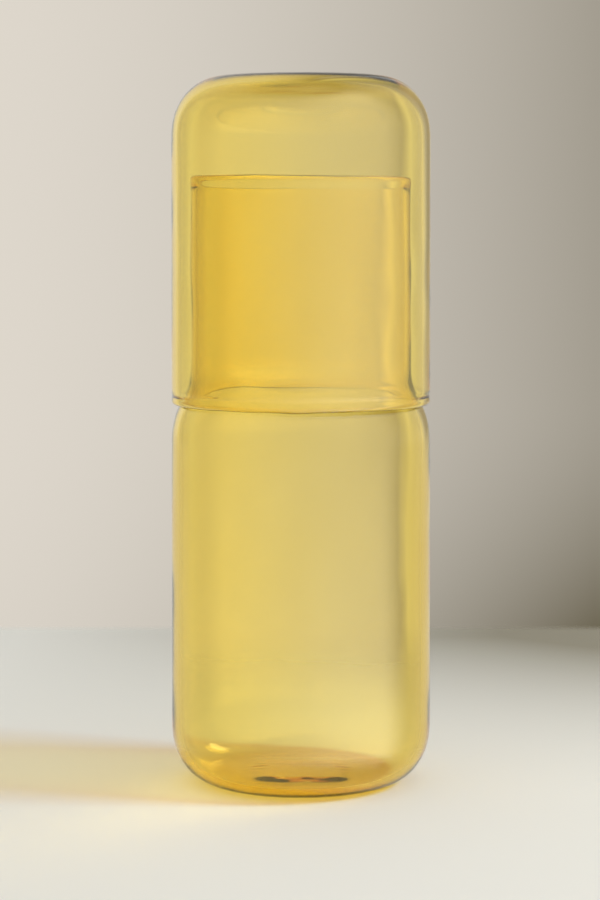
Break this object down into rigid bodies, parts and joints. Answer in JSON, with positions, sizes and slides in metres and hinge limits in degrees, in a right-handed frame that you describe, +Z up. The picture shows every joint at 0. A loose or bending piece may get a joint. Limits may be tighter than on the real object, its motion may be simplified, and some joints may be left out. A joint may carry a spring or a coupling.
{
  "type": "bedside carafe with tumbler",
  "caption": "Cylindrical blown-glass bedside carafe with a straight neck, capped by an upturned straight tumbler that rests on its shoulder.",
  "frame": {"origin": "middle of the carafe's foot, on the surface that it stands on", "axes": "+Z up along the axis that the carafe and the tumbler share; both are round, so X and Y are free"},
  "size_m": [0.088, 0.088, 0.2398],
  "materials": {
    "carafe_glass": "clear amber blown glass, fire-polished",
    "tumbler_glass": "clear amber blown glass, fire-polished"
  },
  "bodies": {
    "carafe": {"carafe": "carafe_glass"},
    "tumbler": {"tumbler": "tumbler_glass"}
  },
  "joints": [
    {"name": "tumbler_lift", "type": "slide", "parent": "carafe", "child": "tumbler", "axis": [0, 0, 1], "range_m": [0, 0.12]}
  ]
}
